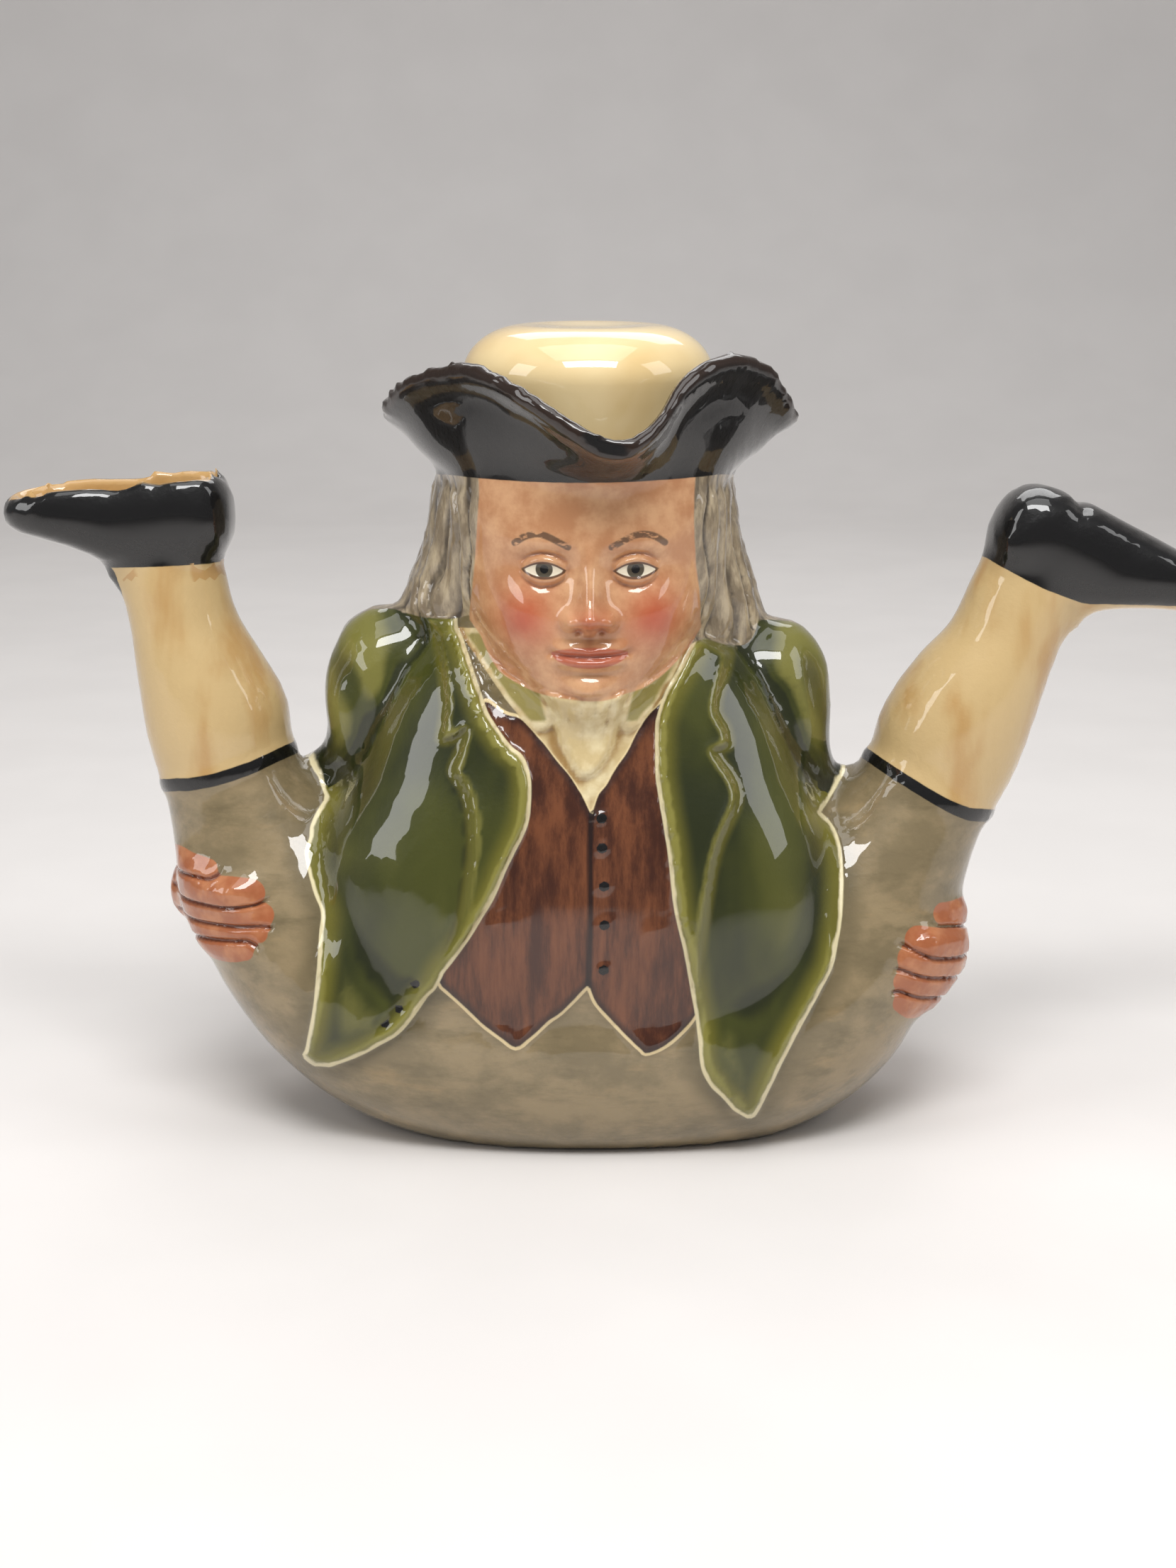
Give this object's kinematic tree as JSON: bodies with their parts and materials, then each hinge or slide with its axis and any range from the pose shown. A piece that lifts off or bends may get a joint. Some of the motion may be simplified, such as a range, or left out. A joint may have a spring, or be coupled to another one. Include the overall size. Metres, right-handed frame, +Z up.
{
  "type": "toby jug",
  "caption": "Glazed figural jug: a seated man in a tricorn hat with both legs raised; the hat crown lifts off as the lid and one shoe is the open spout.",
  "frame": {"origin": "on the flat underside that the jug stands on, below the middle of the head", "axes": "+Z up, the figure faces -Y, +X to the viewer's right, along the spread of the legs"},
  "size_m": [0.2746, 0.0916, 0.1822],
  "materials": {
    "painted_glaze": "clear gloss glaze over hand-painted colours",
    "cream_glaze": "clear gloss glaze over cream earthenware"
  },
  "bodies": {
    "root": {"jug_body": "painted_glaze", "lid": "cream_glaze"}
  },
  "joints": []
}
